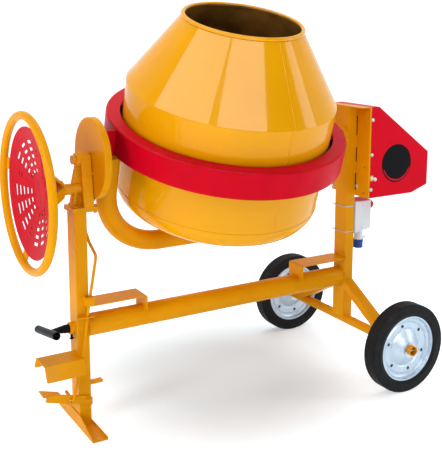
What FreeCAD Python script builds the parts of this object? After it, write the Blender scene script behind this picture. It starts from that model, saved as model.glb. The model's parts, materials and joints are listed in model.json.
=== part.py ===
import FreeCAD, Part
import math
import os

# Tilting-drum concrete mixer, electric, on two wheels and a foot. Millimetres, +Z up.
# Origin: centre of the foot's sole. +X runs along the main tube to the axle post,
# -Y is the side that the drum leans to at rest.

V = FreeCAD.Vector

# ---- driving dimensions -------------------------------------------------------------
POST_SPACING = 1312.0        # foot post centre to axle post centre
POST_X, POST_Y = 50.0, 80.0  # post section
POST_WALL = 3.0
CORNER_R = 3.0               # outside corner radius of the rectangular tubes
MAIN_TUBE_R = 44.45
MAIN_TUBE_Z = 401.0
PIPE_WALL = 3.2

TRUNNION_Z = 1065.0          # tilt axis, parallel to X
LEAN_DEG = 16.6              # lean of the drum at rest, towards -Y
DRUM_X = 652.0               # drum axis along the main tube

DRUM_R = 430.0
DRUM_WALL = 3.0
DRUM_LOW = -177.0            # weld seam between drum side and dished bottom, along the drum axis
DRUM_HIGH = 254.0            # fold between drum side and cone
MOUTH_R = 238.5
MOUTH_HIGH = 541.0
BEAD_R = 8.5
KNUCKLE_R = 90.0
CROWN_TURN_DEG = 14.0        # slope where the knuckle meets the dished bottom

GUARD_R = 498.0
GUARD_INNER_R = 441.0
GUARD_LOW, GUARD_HIGH = 10.0, 120.0
GUARD_WALL = 2.5

CROWN_TEETH, DRIVE_TEETH = 99, 9
CROWN_IN_R, CROWN_ROOT_R, CROWN_OUT_R = 430.0, 440.0, 470.0
CROWN_LOW, CROWN_TOOTH_TOP, CROWN_HIGH = 36.0, 48.0, 62.0
DRIVE_PITCH_R = (CROWN_ROOT_R + CROWN_OUT_R) / 2.0 * DRIVE_TEETH / CROWN_TEETH

YOKE_R = 41.25
YOKE_WALL = 4.0
YOKE_LEFT = -509.0           # yoke legs, from the drum axis
YOKE_RIGHT = 521.0
YOKE_LOW = -413.0            # yoke centre line under the drum
YOKE_BEND_R = 263.0

TILT_MODULE = 4.0
TILT_GEAR_TEETH, TILT_PINION_TEETH = 70, 14
TILT_GEAR_R = TILT_MODULE * TILT_GEAR_TEETH / 2.0
TILT_PINION_R = TILT_MODULE * TILT_PINION_TEETH / 2.0
HANDWHEEL_Z = TRUNNION_Z - (TILT_GEAR_R - TILT_PINION_R)
COVER_R = 158.0
COVER_X, COVER_DEPTH = 57.0, 27.0

TRUNNION_PIN_R = 17.5
PINION_SHAFT_R = 15.0
RUNNING = 0.05               # radial clearance of a shaft in its bore

WHEEL_R, WHEEL_W = 194.0, 68.0
RIM_R = 143.0
WHEEL_Y = 420.0              # wheel centre planes, both sides
AXLE_R = 21.2
AXLE_END = 482.0
AXLE_PIN_Y, AXLE_PIN_R = 470.0, 3.0

HANDWHEEL_X = -193.0
HANDWHEEL_R, HANDWHEEL_TUBE_R = 292.0, 16.0
DISC_R = 250.0
SPOKES = 4
SPOKE_START_DEG = 16.5

BOX_X, BOX_END = 1337.0, 1694.0
BOX_Y = 130.0
BOX_LOW, BOX_HIGH = 788.0, 1202.0

PEDAL_PIVOT = V(7.5, 0, 109.0)


# ---- building blocks ----------------------------------------------------------------
def box(x0, x1, y0, y1, z0, z1):
    return Part.makeBox(x1 - x0, y1 - y0, z1 - z0, V(x0, y0, z0))


def rod(radius, start, end):
    """Solid cylinder from start to end."""
    start, end = V(*start), V(*end)
    return Part.makeCylinder(radius, (end - start).Length, start, end - start)


def pipe(outer, inner, start, end):
    return rod(outer, start, end).cut(rod(inner, start, end))


def prism(points, vector):
    """Closed polygon through points, pushed along vector."""
    wire = Part.makePolygon([V(*p) for p in points] + [V(*points[0])])
    return Part.Face(wire).extrude(V(*vector))


def lathe(outline, start, axis):
    """Turn an outline of (radius, height) points, or arcs as point triples, about an axis."""
    edges = []
    here = outline[0]
    for step in outline[1:] + [outline[0]]:
        if len(step) == 2:
            if step != here:
                edges.append(Part.LineSegment(V(here[0], 0, here[1]), V(step[0], 0, step[1])).toShape())
            here = step
        else:
            middle, end = (step[0], step[1]), (step[2], step[3])
            edges.append(Part.Arc(V(here[0], 0, here[1]), V(middle[0], 0, middle[1]),
                                  V(end[0], 0, end[1])).toShape())
            here = end
    face = Part.Face(Part.Wire(Part.__sortEdges__(edges)))
    solid = face.revolve(V(0, 0, 0), V(0, 0, 1), 360)
    if solid.Volume < 0:
        solid.reverse()
    turn = FreeCAD.Rotation(V(0, 0, 1), V(*axis))
    solid.Placement = FreeCAD.Placement(V(*start), turn)
    return solid


def rounded_section(size_a, size_b, radius):
    """Wire of a rounded rectangle in the XY plane, centred."""
    a, b, r = size_a / 2.0, size_b / 2.0, radius
    diagonal = r * (1 - math.sqrt(0.5))
    corners = [(a, b), (-a, b), (-a, -b), (a, -b)]
    edges = []
    starts = [V(a, b - r, 0), V(-a + r, b, 0), V(-a, -b + r, 0), V(a - r, -b, 0)]
    ends = [V(a - r, b, 0), V(-a, b - r, 0), V(-a + r, -b, 0), V(a, -b + r, 0)]
    for index, (cx, cy) in enumerate(corners):
        mid = V(cx - math.copysign(diagonal, cx), cy - math.copysign(diagonal, cy), 0)
        edges.append(Part.Arc(starts[index], mid, ends[index]).toShape())
        edges.append(Part.LineSegment(ends[index], starts[(index + 1) % 4]).toShape())
    return Part.Wire(edges)


def rect_tube(size_a, size_b, wall, length, radius=CORNER_R):
    """Hollow rounded tube along +Z from the origin, size_a along X and size_b along Y."""
    outer = Part.Face(rounded_section(size_a, size_b, radius)).extrude(V(0, 0, length))
    inner = Part.Face(rounded_section(size_a - 2 * wall, size_b - 2 * wall, radius - wall + 0.5))
    return outer.cut(inner.extrude(V(0, 0, length)))


def bent_rod(points, radii, rod_r):
    """Round bar along straight runs joined by tangent arcs of the given radii."""
    points = [V(*p) for p in points]
    edges = []
    here = points[0]
    for index in range(1, len(points) - 1):
        before = (points[index - 1] - points[index]).normalize()
        after = (points[index + 1] - points[index]).normalize()
        half = before.getAngle(after) / 2.0
        trim = radii[index - 1] / math.tan(half)
        inward = (before + after).normalize()
        centre = points[index] + inward * (radii[index - 1] / math.sin(half))
        arc_start = points[index] + before * trim
        arc_end = points[index] + after * trim
        edges.append(Part.LineSegment(here, arc_start).toShape())
        edges.append(Part.Arc(arc_start, centre - inward * radii[index - 1], arc_end).toShape())
        here = arc_end
    edges.append(Part.LineSegment(here, points[-1]).toShape())
    path = Part.Wire(edges)
    section = Part.Wire(Part.makeCircle(rod_r, points[0], points[1] - points[0]))
    return path.makePipeShell([section], True, False)


def turned(shape, angle_deg, centre, axis):
    copy = shape.copy()
    copy.rotate(V(*centre), V(*axis), angle_deg)
    return copy


def moved(shape, x, y, z):
    copy = shape.copy()
    copy.translate(V(x, y, z))
    return copy


def mirrored_y(shape):
    return shape.mirror(V(0, 0, 0), V(0, 1, 0))


def on_drum_axis(shape):
    """Put a shape built about the upright drum axis, with the trunnion at its origin, in place."""
    copy = shape.copy()
    copy.rotate(V(0, 0, 0), V(1, 0, 0), LEAN_DEG)
    copy.translate(V(DRUM_X, 0, TRUNNION_Z))
    return copy


def group(*shapes):
    solids = []
    for shape in shapes:
        solids.extend(shape.Solids)
    return Part.makeCompound(solids)


def bolt(radius, head_r, head_h, length, place, axis):
    """Hexagon-head bolt: the head stands on place and points along axis."""
    head = Part.Face(Part.Wire(Part.makePolygon(
        [V(head_r * math.cos(math.radians(60 * k)), head_r * math.sin(math.radians(60 * k)), 0)
         for k in range(7)]))).extrude(V(0, 0, head_h))
    shank = Part.makeCylinder(radius, length, V(0, 0, -length))
    whole = head.fuse(shank).removeSplitter()
    whole.Placement = FreeCAD.Placement(V(*place), FreeCAD.Rotation(V(0, 0, 1), V(*axis)))
    return whole


def tooth_ring(teeth, root_r, tip_r, root_half, tip_half, phase=0.0):
    """Corner points of a toothed outline: half widths of each tooth at its root and its tip."""
    points = []
    for index in range(teeth):
        middle = phase + 2 * math.pi * index / teeth
        flanks = ((root_r, -root_half), (tip_r, -tip_half), (tip_r, tip_half), (root_r, root_half))
        for radius, side in flanks:
            angle = middle + math.asin(side / radius)
            points.append((radius * math.cos(angle), radius * math.sin(angle)))
    return points


# ---- frame --------------------------------------------------------------------------
FOOT_LEN, FOOT_LEFT, FOOT_RIGHT, FOOT_WALL = 370.0, -29.0, 33.0, 5.0
FOOT_RISE, FOOT_TIP, FOOT_LOW_EDGE = 52.0, 8.0, 12.0
ANCHOR_SPAN, ANCHOR_R = 316.0, 5.5
POST_TOP = 873.0
CAP = (-33.0, 70.0, 50.0)            # bracket flange: x from, x to, half width
INNER_BOLTS = [(-14.0, -30.0), (-14.0, 30.0)]   # over the post's hollow
OUTER_BOLTS = [(61.5, -38.0), (61.5, 38.0)]     # beside the post
ROD_X, ROD_Y = 36.0, 6.0             # upper run of the brake rod
ROD_R = 6.0
ROD_FRONT_Y = -53.0                  # lower run, in front of the post
ROD_TRAVEL = 12.0
DRAWBAR_R = 17.0
COLLAR_R, COLLAR_LEN = 24.0, 20.0
AXLE_POST_LOW = 206.0
STACK_TOP, STACK_W, STACK_T, STACK_LOW = 496.0, 104.0, 5.0, 428.0


def foot_channel():
    half = FOOT_LEN / 2.0
    web = box(FOOT_LEFT, FOOT_RIGHT, -half, half, 0, FOOT_WALL)
    tall = prism([(FOOT_LEFT, -half, 0), (FOOT_LEFT, -half, FOOT_TIP), (FOOT_LEFT, -55, FOOT_RISE),
                  (FOOT_LEFT, 55, FOOT_RISE), (FOOT_LEFT, half, FOOT_TIP), (FOOT_LEFT, half, 0)],
                 (FOOT_WALL - 1, 0, 0))
    low = box(FOOT_RIGHT - FOOT_WALL + 1, FOOT_RIGHT, -half, half, 0, FOOT_LOW_EDGE)
    channel = web.fuse([tall, low]).removeSplitter()
    for side in (-1, 1):
        y = side * ANCHOR_SPAN / 2.0
        channel = channel.cut(rod(ANCHOR_R, (3, y, -1), (3, y, 20)))
        channel = channel.cut(rod(4.5, (FOOT_LEFT - 5, side * 118, 19), (FOOT_LEFT + 10, side * 118, 19)))
    return channel


def foot_post():
    post = moved(rect_tube(POST_X, POST_Y, POST_WALL, POST_TOP - 6 - FOOT_WALL), 0, 0, FOOT_WALL)
    cap = box(CAP[0], CAP[1], -CAP[2], CAP[2], POST_TOP - 6, POST_TOP)
    post = post.fuse(cap)
    post = post.cut(rod(COLLAR_R, (-40, 0, MAIN_TUBE_Z), (0, 0, MAIN_TUBE_Z)))
    post = post.cut(rod(DRAWBAR_R + 4, (0, 0, MAIN_TUBE_Z), (40, 0, MAIN_TUBE_Z)))
    for x, y in INNER_BOLTS + OUTER_BOLTS:
        post = post.cut(rod(5.2, (x, y, POST_TOP - 10), (x, y, POST_TOP + 5)))
    post = post.cut(rod(ROD_R + 3, (ROD_X, ROD_Y, POST_TOP - 10), (ROD_X, ROD_Y, POST_TOP + 5)))
    return post


def main_tube():
    tube = pipe(MAIN_TUBE_R, MAIN_TUBE_R - PIPE_WALL, (POST_X / 2, 0, MAIN_TUBE_Z),
                (POST_SPACING - POST_X / 2, 0, MAIN_TUBE_Z))
    collar = pipe(COLLAR_R, DRAWBAR_R + 0.4, (-POST_X / 2 - COLLAR_LEN, 0, MAIN_TUBE_Z), (0, 0, MAIN_TUBE_Z))
    screw_x = -POST_X / 2 - COLLAR_LEN / 2
    collar = collar.cut(rod(5.3, (screw_x, 0, MAIN_TUBE_Z - 40), (screw_x, 0, MAIN_TUBE_Z)))
    return tube, collar


def axle_post():
    post = moved(rect_tube(POST_X, POST_Y, POST_WALL, BOX_HIGH - 3 - AXLE_POST_LOW),
                 POST_SPACING, 0, AXLE_POST_LOW)
    post = post.cut(rod(AXLE_R, (POST_SPACING, -60, WHEEL_R), (POST_SPACING, 60, WHEEL_R)))
    trunnion_way = rod(TRUNNION_TUBE_R + 3, (POST_SPACING - 50, 0, TRUNNION_Z), (BOX_X + 20, 0, TRUNNION_Z))
    return post.cut(trunnion_way)


def stack_bracket(x_post, x_end):
    """Strip from a post, bent down on to the main tube, with a saddle cut in its lower edge."""
    away = math.copysign(1.0, x_end - x_post)
    half, bend = STACK_W / 2.0, 7.0
    corner = bend * (1 - math.sqrt(0.5))
    under, inside = STACK_TOP - STACK_T, x_end - away * STACK_T
    outline = [(x_post, STACK_TOP), (x_end - away * bend, STACK_TOP),
               (x_end - away * corner, STACK_TOP - corner), (x_end, STACK_TOP - bend), (x_end, STACK_LOW),
               (inside, STACK_LOW), (inside, STACK_TOP - bend), (inside - away * (bend - STACK_T), under),
               (x_post, under)]
    strip = prism([(x, -half, z) for x, z in outline], (0, STACK_W, 0))
    beyond = x_end + away * 2 * STACK_T
    return strip.cut(rod(MAIN_TUBE_R, (x_post, 0, MAIN_TUBE_Z), (beyond, 0, MAIN_TUBE_Z)))


def on_axle(y, x=0.0):
    """Point on the axle's centre line, or x beside it."""
    return POST_SPACING + x, y, WHEEL_R


def axle_tube():
    tube = pipe(AXLE_R, AXLE_R - PIPE_WALL, on_axle(-AXLE_END), on_axle(AXLE_END))
    slot_half, slot_y = 12.0, 98.0
    for side in (-1, 1):
        y, middle = side * AXLE_PIN_Y, side * slot_y
        tube = tube.cut(rod(AXLE_PIN_R + 0.3, on_axle(y, -40), on_axle(y, 40)))
        slot = box(POST_SPACING - 4, POST_SPACING + 4, middle - slot_half, middle + slot_half, WHEEL_R + 10,
                   WHEEL_R + 30)
        tube = tube.cut(slot)
    return tube


def near_leg():
    """Slanted brace from the axle post down to the axle, on the -Y side."""
    rise, reach = 368.0 - 194.0, 330.0 - 30.0
    angle = math.degrees(math.atan2(rise, reach))
    length = math.hypot(rise, reach) + 30
    leg = moved(rect_tube(POST_X, 40.0, POST_WALL, length), 0, 0, -30)
    leg.rotate(V(0, 0, 0), V(1, 0, 0), -(90 - angle))
    leg.translate(V(POST_SPACING, -330.0, WHEEL_R + 4))
    leg = leg.cut(box(POST_SPACING - 60, POST_SPACING + 60, -POST_Y / 2, 200, 0, 600))
    leg = leg.cut(box(POST_SPACING - 60, POST_SPACING + 60, -600, 0, 0, WHEEL_R + 3))
    leg = leg.cut(rod(AXLE_R, (POST_SPACING, -500, WHEEL_R), (POST_SPACING, 0, WHEEL_R)))
    return max(leg.Solids, key=lambda solid: solid.Volume)


def toe_lug():
    return box(POST_X / 2, 82, -24, 0, 160, 170)


PEDAL_GUARD_X = (-175.0, -17.0)


def pedal_guard():
    """Saddle of sheet over the pedal: flat top with two flaps spread outwards."""
    sheet, corner = 4.0, 7.0
    top = 300.0
    under = top - sheet
    outline = [(-110, 245), (-83, top), (17, top), (45, 252), (41.5, 250), (14.7, under), (-80.5, under),
               (-106.4, 243.2)]
    x0, x1 = PEDAL_GUARD_X
    saddle = prism([(x0, y, z) for y, z in outline], (x1 - x0, 0, 0))
    tips = [edge for edge in saddle.Edges if edge.Length < 6 and edge.BoundBox.ZMax < 260]
    saddle = saddle.makeFillet(corner, tips)
    rod_slot = box(-26, 12, ROD_FRONT_Y - 11, -POST_Y / 2, top - 15, top + 10)
    return saddle.cut([box(-POST_X / 2, POST_X / 2, -POST_Y / 2, POST_Y / 2, 100, 400), rod_slot])


def rod_guides():
    """Sleeve and plate that lead the lower run of the brake rod down the post's face."""
    sleeve = box(4, 38, ROD_FRONT_Y - 15, -POST_Y / 2, 500, 534)
    plate = box(-28, 39, ROD_FRONT_Y - 13, -POST_Y / 2, 452, 457)
    bore = bent_rod(BRAKE_PATH, BRAKE_BENDS, ROD_R + 3.6)
    return sleeve.cut(bore), plate.cut(bore)


# ---- wheels -------------------------------------------------------------------------
WASHER_R, WASHER_OFFSET = 34.0, 42.3


def tyre():
    half, edge = WHEEL_W / 2.0, 6.0
    outline = [(RIM_R, -half + 4), (RIM_R + 14, -half), (WHEEL_R - edge, -half + 1.5),
               (WHEEL_R - 1.9, -half + 2.9, WHEEL_R, -half + edge)]
    grooves, depth, width = 4, 1.5, 2.0
    pitch = (WHEEL_W - 2 * edge - 8) / (grooves - 1)
    for index in range(grooves):
        y = -half + edge + 4 + index * pitch
        outline += [(WHEEL_R, y - width / 2), (WHEEL_R - depth, y - width / 2),
                    (WHEEL_R - depth, y + width / 2), (WHEEL_R, y + width / 2)]
    outline += [(WHEEL_R, half - edge), (WHEEL_R - 1.9, half - 2.9, WHEEL_R - edge, half - 1.5),
                (RIM_R + 14, half), (RIM_R, half - 4)]
    return lathe(outline, (POST_SPACING, 0, WHEEL_R), (0, -1, 0))


def rim_half():
    """Pressed disc with a rolled lip, two rings and a cone up to the hub tube; +height is outboard."""
    sheet, seat = 2.5, RIM_R - 0.2
    face = [(seat, 28), (137, 28), (132, 13), (124, 8), (116, 8), (112, 11), (88, 11), (84, 8), (78, 8),
            (70, 14), (42, 32), (32, 38)]
    back = [(32, 34), (41, 28.5), (69, 10.5), (77, 8 - sheet), (85, 8 - sheet), (89, 11 - sheet),
            (111, 11 - sheet), (115, 8 - sheet), (125, 8 - sheet), (134, 10), (139, 25),
            (seat - sheet, 25), (seat - sheet, 0), (seat, 0)]
    disc = lathe(face + back, (0, 0, 0), (0, 0, 1))
    hole = rod(7.5, (100, 0, -5), (100, 0, 30))
    holes = [turned(hole, 60 * k - 18, (0, 0, 0), (0, 0, 1)) for k in range(6)]
    return disc.cut(holes)


def rim():
    outer = rim_half()
    inner = outer.mirror(V(0, 0, 0), V(0, 0, 1))
    hub = pipe(32.0, AXLE_R + RUNNING, (0, 0, -40), (0, 0, 40))
    parts = group(outer, inner, hub)
    parts.rotate(V(0, 0, 0), V(1, 0, 0), 90)
    parts.translate(V(POST_SPACING, 0, WHEEL_R))
    return parts


def wheel_retainers():
    """Washers on both sides of each hub, and the pin through each end of the axle."""
    pieces = []
    for side in (-1, 1):
        for offset in (-WASHER_OFFSET, WASHER_OFFSET):
            y = side * WHEEL_Y + offset
            pieces.append(pipe(WASHER_R, AXLE_R + 0.1, on_axle(y - 2), on_axle(y + 2)))
        pieces.append(rod(AXLE_PIN_R, on_axle(side * AXLE_PIN_Y, -32), on_axle(side * AXLE_PIN_Y, 32)))
    return group(*pieces)


# ---- tilting gear at the foot post --------------------------------------------------
GEAR_X0, GEAR_X1, WEB_X1 = 61.0, 77.0, 84.0
GEAR_BOSS_R = 30.0


def tilt_bracket():
    """Cast bearing bracket: flange, ribbed upright and two bosses for the trunnion and the pinion shaft."""
    base = POST_TOP
    foot = base + 12
    flange = box(CAP[0], CAP[1], -CAP[2], CAP[2], base, foot)
    plate = prism([(18, -44, foot), (18, -22, TRUNNION_Z), (18, 22, TRUNNION_Z), (18, 44, foot)], (12, 0, 0))
    front = prism([(13, -50, foot), (13, -26, TRUNNION_Z), (13, -16, TRUNNION_Z), (13, -38, foot)],
                  (40, 0, 0))
    back = mirrored_y(front)
    rib = prism([(-24, -6, foot), (18, -6, foot), (18, -6, TRUNNION_Z), (-2, -6, TRUNNION_Z - 20),
                 (-18, -6, HANDWHEEL_Z + 25)], (0, 12, 0))
    upper = rod(25.0, (-2, 0, TRUNNION_Z), (50, 0, TRUNNION_Z))
    lower = rod(21.5, (-52, 0, HANDWHEEL_Z), (50, 0, HANDWHEEL_Z))
    cheek = prism([(-24, -20, foot), (-24, 20, foot), (-10, 16, HANDWHEEL_Z), (-10, -16, HANDWHEEL_Z)],
                  (12, 0, 0))
    bracket = flange.fuse([plate, front, back, rib, upper, lower, cheek]).removeSplitter()
    bracket = bracket.cut(rod(TRUNNION_PIN_R + RUNNING, (-60, 0, TRUNNION_Z), (60, 0, TRUNNION_Z)))
    bracket = bracket.cut(rod(PINION_SHAFT_R + RUNNING, (-80, 0, HANDWHEEL_Z), (60, 0, HANDWHEEL_Z)))
    for x, y in INNER_BOLTS + OUTER_BOLTS:
        bracket = bracket.cut(rod(5.2, (x, y, base - 2), (x, y, base + 20)))
    way = rod(ROD_R + 2.5, (ROD_X, ROD_Y, base - 2), (ROD_X, ROD_Y, HANDWHEEL_Z - 24))
    return bracket.cut(way)


def gear_cover():
    """Pan over the tilt gear, with a slot in its rim for the brake tongue."""
    pan = lathe([(20, 0), (COVER_R - 4, 0), (COVER_R - 1.2, 1.2, COVER_R, 4), (COVER_R, COVER_DEPTH),
                 (COVER_R - 2.5, COVER_DEPTH), (COVER_R - 2.5, 4), (COVER_R - 4, 2.5), (20, 2.5)],
                (COVER_X, 0, TRUNNION_Z), (1, 0, 0))
    pan = pan.cut(rod(PINION_SHAFT_R + 2, (COVER_X - 5, 0, HANDWHEEL_Z), (COVER_X + 10, 0, HANDWHEEL_Z)))
    rim_low = TRUNNION_Z - COVER_R
    pan = pan.cut(box(TONGUE[0] - 2, TONGUE[1] + 2, -9, 9, rim_low - 5, rim_low + 8))
    stands = [rod(7, (53, y, z), (COVER_X, y, z)) for y, z in ((-31, 1010), (31, 1010))]
    return pan.fuse(stands)


def tilt_ring_gear():
    """Internal gear with a web and a boss that is welded to the yoke's left leg."""
    tip, root = TILT_GEAR_R - 0.8 * TILT_MODULE, TILT_GEAR_R + 1.25 * TILT_MODULE
    phase = -math.pi / 2 + math.pi / TILT_GEAR_TEETH
    teeth = tooth_ring(TILT_GEAR_TEETH, root, tip, 3.4, 1.35, phase)
    blank = rod(153.0, (GEAR_X0, 0, 0), (WEB_X1, 0, 0))
    hollow = prism([(GEAR_X0 - 1, y, z) for y, z in teeth], (GEAR_X1 - GEAR_X0 + 1, 0, 0))
    gear = moved(blank.cut(hollow), 0, 0, TRUNNION_Z)
    leg_x = DRUM_X + YOKE_LEFT
    gear = gear.fuse(rod(GEAR_BOSS_R, (GEAR_X0 + 4, 0, TRUNNION_Z), (leg_x, 0, TRUNNION_Z)))
    gear = gear.cut(rod(TRUNNION_PIN_R, (GEAR_X0, 0, TRUNNION_Z), (leg_x, 0, TRUNNION_Z)))
    return gear.cut(on_drum_axis(rod(YOKE_R, (YOKE_LEFT, 0, -80), (YOKE_LEFT, 0, 80))))


def tilt_pinion():
    tip, root = TILT_PINION_R + 0.8 * TILT_MODULE, TILT_PINION_R - 1.2 * TILT_MODULE
    teeth = tooth_ring(TILT_PINION_TEETH, root, tip, 2.9, 1.3, -math.pi / 2)
    gear = prism([(GEAR_X0 + 2, y, z) for y, z in teeth], (GEAR_X1 - GEAR_X0 - 5, 0, 0))
    gear = moved(gear, 0, 0, HANDWHEEL_Z)
    return gear.cut(rod(PINION_SHAFT_R, (GEAR_X0, 0, HANDWHEEL_Z), (GEAR_X1, 0, HANDWHEEL_Z)))


# ---- handwheel ----------------------------------------------------------------------
HUB_X = -55.0                          # back of the handwheel's hub plate, next to the bracket's boss
DISC_X = HANDWHEEL_X + 9.0             # rim plane of the guard disc


def on_wheel(shape, angle_deg):
    """Turn a shape about the handwheel's axis, counted from the first spoke."""
    return turned(shape, SPOKE_START_DEG - 90 + angle_deg, (0, 0, HANDWHEEL_Z), (1, 0, 0))


def handwheel_ring():
    return Part.makeTorus(HANDWHEEL_R, HANDWHEEL_TUBE_R, V(HANDWHEEL_X, 0, HANDWHEEL_Z), V(1, 0, 0))


def handwheel_spokes():
    """Flat bars from the ring, behind the disc, bent back to the hub."""
    wide, thick = 44.0, 6.0
    x_rim, x_bend, x_hub = HANDWHEEL_X + 6, HANDWHEEL_X + 43, HUB_X - 5
    outer = HANDWHEEL_R - HANDWHEEL_TUBE_R + 2
    outline = [(x_rim, outer), (x_rim + thick, outer), (x_bend + thick + 1, 112), (x_hub, 34), (x_hub, 20),
               (x_hub - thick, 20), (x_hub - thick, 30), (x_bend, 108)]
    bar = prism([(x, -wide / 2, HANDWHEEL_Z + r) for x, r in outline], (0, wide, 0))
    bars = [on_wheel(bar, index * 360.0 / SPOKES) for index in range(SPOKES)]
    hub = pipe(26.0, PINION_SHAFT_R, (HUB_X - 19, 0, HANDWHEEL_Z), (x_hub, 0, HANDWHEEL_Z))
    plate = pipe(36.0, PINION_SHAFT_R, (x_hub, 0, HANDWHEEL_Z), (HUB_X, 0, HANDWHEEL_Z))
    star = bars[0].fuse(bars[1:] + [hub, plate]).removeSplitter()
    star = star.cut(rod(PINION_SHAFT_R, (HUB_X - 25, 0, HANDWHEEL_Z), (HUB_X + 20, 0, HANDWHEEL_Z)))
    return star.cut(handwheel_ring())


def handwheel_disc():
    """Dished guard disc with groups of slots between the spokes and two small slots over each spoke."""
    dish, sheet = 43.0, 3.0
    face = [(0, dish), (60, dish - 2), (DISC_R - 6, 1), (DISC_R, 0), (DISC_R, sheet), (60, dish + sheet - 2),
            (0, dish + sheet)]
    disc = lathe(face, (DISC_X, 0, HANDWHEEL_Z), (1, 0, 0))
    first_row, row_pitch, rows, slot_deg, half_height = 84, 27, 5, 6.4, 6
    near, far = DISC_X - 10, DISC_X + dish + 10
    slots = []
    for index in range(SPOKES * 4):
        angle = index * 360.0 / (SPOKES * 4)
        if index % 4 == 0:
            for z in (HANDWHEEL_Z + 152, HANDWHEEL_Z + 171):
                slots.append(on_wheel(box(near, far, -9, 9, z - 3, z + 3), angle))
            continue
        for step in range(rows):
            r = first_row + row_pitch * step
            half = r * math.tan(math.radians(slot_deg))
            z = HANDWHEEL_Z + r
            slots.append(on_wheel(box(near, far, -half, half, z - half_height, z + half_height), angle))
    return disc.cut(slots)


def pinion_shaft():
    return rod(PINION_SHAFT_R, (HUB_X - 16, 0, HANDWHEEL_Z), (GEAR_X1 - 3, 0, HANDWHEEL_Z))


# ---- tilting frame ------------------------------------------------------------------
TRUNNION_TUBE_R, TRUNNION_BORE_R = 30.0, 20.0
DRIVE_SHAFT_R = 12.5


def yoke_tube():
    """U-shaped tube under the drum, built about the upright drum axis."""
    top_left, top_right = 4.0, -18.0
    route = [(YOKE_LEFT, 0, top_left), (YOKE_LEFT, 0, YOKE_LOW), (YOKE_RIGHT, 0, YOKE_LOW),
             (YOKE_RIGHT, 0, top_right)]
    bends = [YOKE_BEND_R, YOKE_BEND_R]
    tube = bent_rod(route, bends, YOKE_R)
    bore = bent_rod(route, bends, YOKE_R - YOKE_WALL)
    tube = tube.cut(bore)
    cap = rod(YOKE_R, (YOKE_LEFT, 0, top_left - 4), (YOKE_LEFT, 0, top_left))
    tube = tube.fuse(cap)
    shaft = rod(TRUNNION_TUBE_R, (YOKE_RIGHT - 60, 0, 0), (YOKE_RIGHT + 60, 0, 0))
    pin = rod(TRUNNION_PIN_R, (YOKE_LEFT - 60, 0, 0), (YOKE_LEFT, 0, 0))
    saddle = rod(30.0, (0, 0, YOKE_LOW + YOKE_R - 12), (0, 0, YOKE_LOW + YOKE_R + 30))
    return on_drum_axis(tube.cut([shaft, pin, saddle]))


def left_trunnion():
    return rod(TRUNNION_PIN_R, (-15, 0, TRUNNION_Z), (DRUM_X + YOKE_LEFT - 20, 0, TRUNNION_Z))


def right_trunnion():
    """Hollow trunnion from the yoke's right leg through the axle post, with bushes for the drive shaft."""
    start, end = YOKE_RIGHT - YOKE_R + 2 + DRUM_X, BOX_X + 10
    sleeve = pipe(TRUNNION_TUBE_R, TRUNNION_BORE_R, (start, 0, TRUNNION_Z), (end, 0, TRUNNION_Z))
    bushes = [pipe(TRUNNION_BORE_R, DRIVE_SHAFT_R + RUNNING, (x, 0, TRUNNION_Z), (x + 25, 0, TRUNNION_Z))
              for x in (start, end - 25)]
    return group(sleeve, *bushes)


def trunnion_flange():
    """Flanged bearing for the right trunnion, on the axle post's inner face."""
    x = POST_SPACING - POST_X / 2
    bush = pipe(43.0, TRUNNION_TUBE_R + RUNNING, (x - 12, 0, TRUNNION_Z), (x, 0, TRUNNION_Z))
    neck = pipe(TRUNNION_TUBE_R + 3, TRUNNION_TUBE_R + RUNNING, (x, 0, TRUNNION_Z), (BOX_X, 0, TRUNNION_Z))
    return bush.fuse(neck).removeSplitter()


def guard_half(side):
    """Half of the crown gear's guard: inverted channel, open below; side +1 is the +Y half."""
    fold = 9.0
    outline = [(GUARD_INNER_R, GUARD_HIGH - 8), (GUARD_INNER_R, GUARD_HIGH - 2),
               (GUARD_INNER_R + 0.6, GUARD_HIGH - 0.6, GUARD_INNER_R + 2, GUARD_HIGH),
               (GUARD_R - fold, GUARD_HIGH),
               (GUARD_R - 0.293 * fold, GUARD_HIGH - 0.293 * fold, GUARD_R, GUARD_HIGH - fold),
               (GUARD_R, GUARD_LOW), (GUARD_R - GUARD_WALL, GUARD_LOW),
               (GUARD_R - GUARD_WALL, GUARD_HIGH - fold), (GUARD_R - fold, GUARD_HIGH - GUARD_WALL),
               (GUARD_INNER_R + GUARD_WALL, GUARD_HIGH - GUARD_WALL),
               (GUARD_INNER_R + GUARD_WALL, GUARD_HIGH - 8)]
    ring = lathe(outline, (0, 0, 0), (0, 0, 1))
    gap = 0.5
    if side > 0:
        ring = ring.cut(box(-600, 600, -600, gap, -50, 200))
    else:
        ring = ring.cut(box(-600, 600, -gap, 600, -50, 200))
    ring = ring.cut(box(470, 520, -38, 38, -50, 40))
    ring = ring.cut(box(-520, -470, -38, 38, -50, GUARD_LOW + 6))
    return on_drum_axis(ring)


def guard_brackets():
    """Plates between the guard and the yoke's two arms."""
    left_web = WEB_X1 - DRUM_X
    top = 112
    left = box(left_web, -GUARD_R + 14, -6, 0, 4, top)
    left = left.fuse(box(left_web, left_web + 4, -24, 18, 4, top)).removeSplitter()
    left = left.cut(rod(GEAR_BOSS_R, (left_web - 1, 0, 0), (YOKE_LEFT, 0, 0)))
    outside = pipe(700.0, GUARD_R, (0, 0, -60), (0, 0, 150))
    right = box(GUARD_R, GUARD_R + 5, -26, 26, 34, 84)
    right = right.fuse(box(GUARD_R, GUARD_R + 22, -26, 26, 30, 34)).removeSplitter()
    return on_drum_axis(group(left.common(outside), right.common(outside)))


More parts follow.
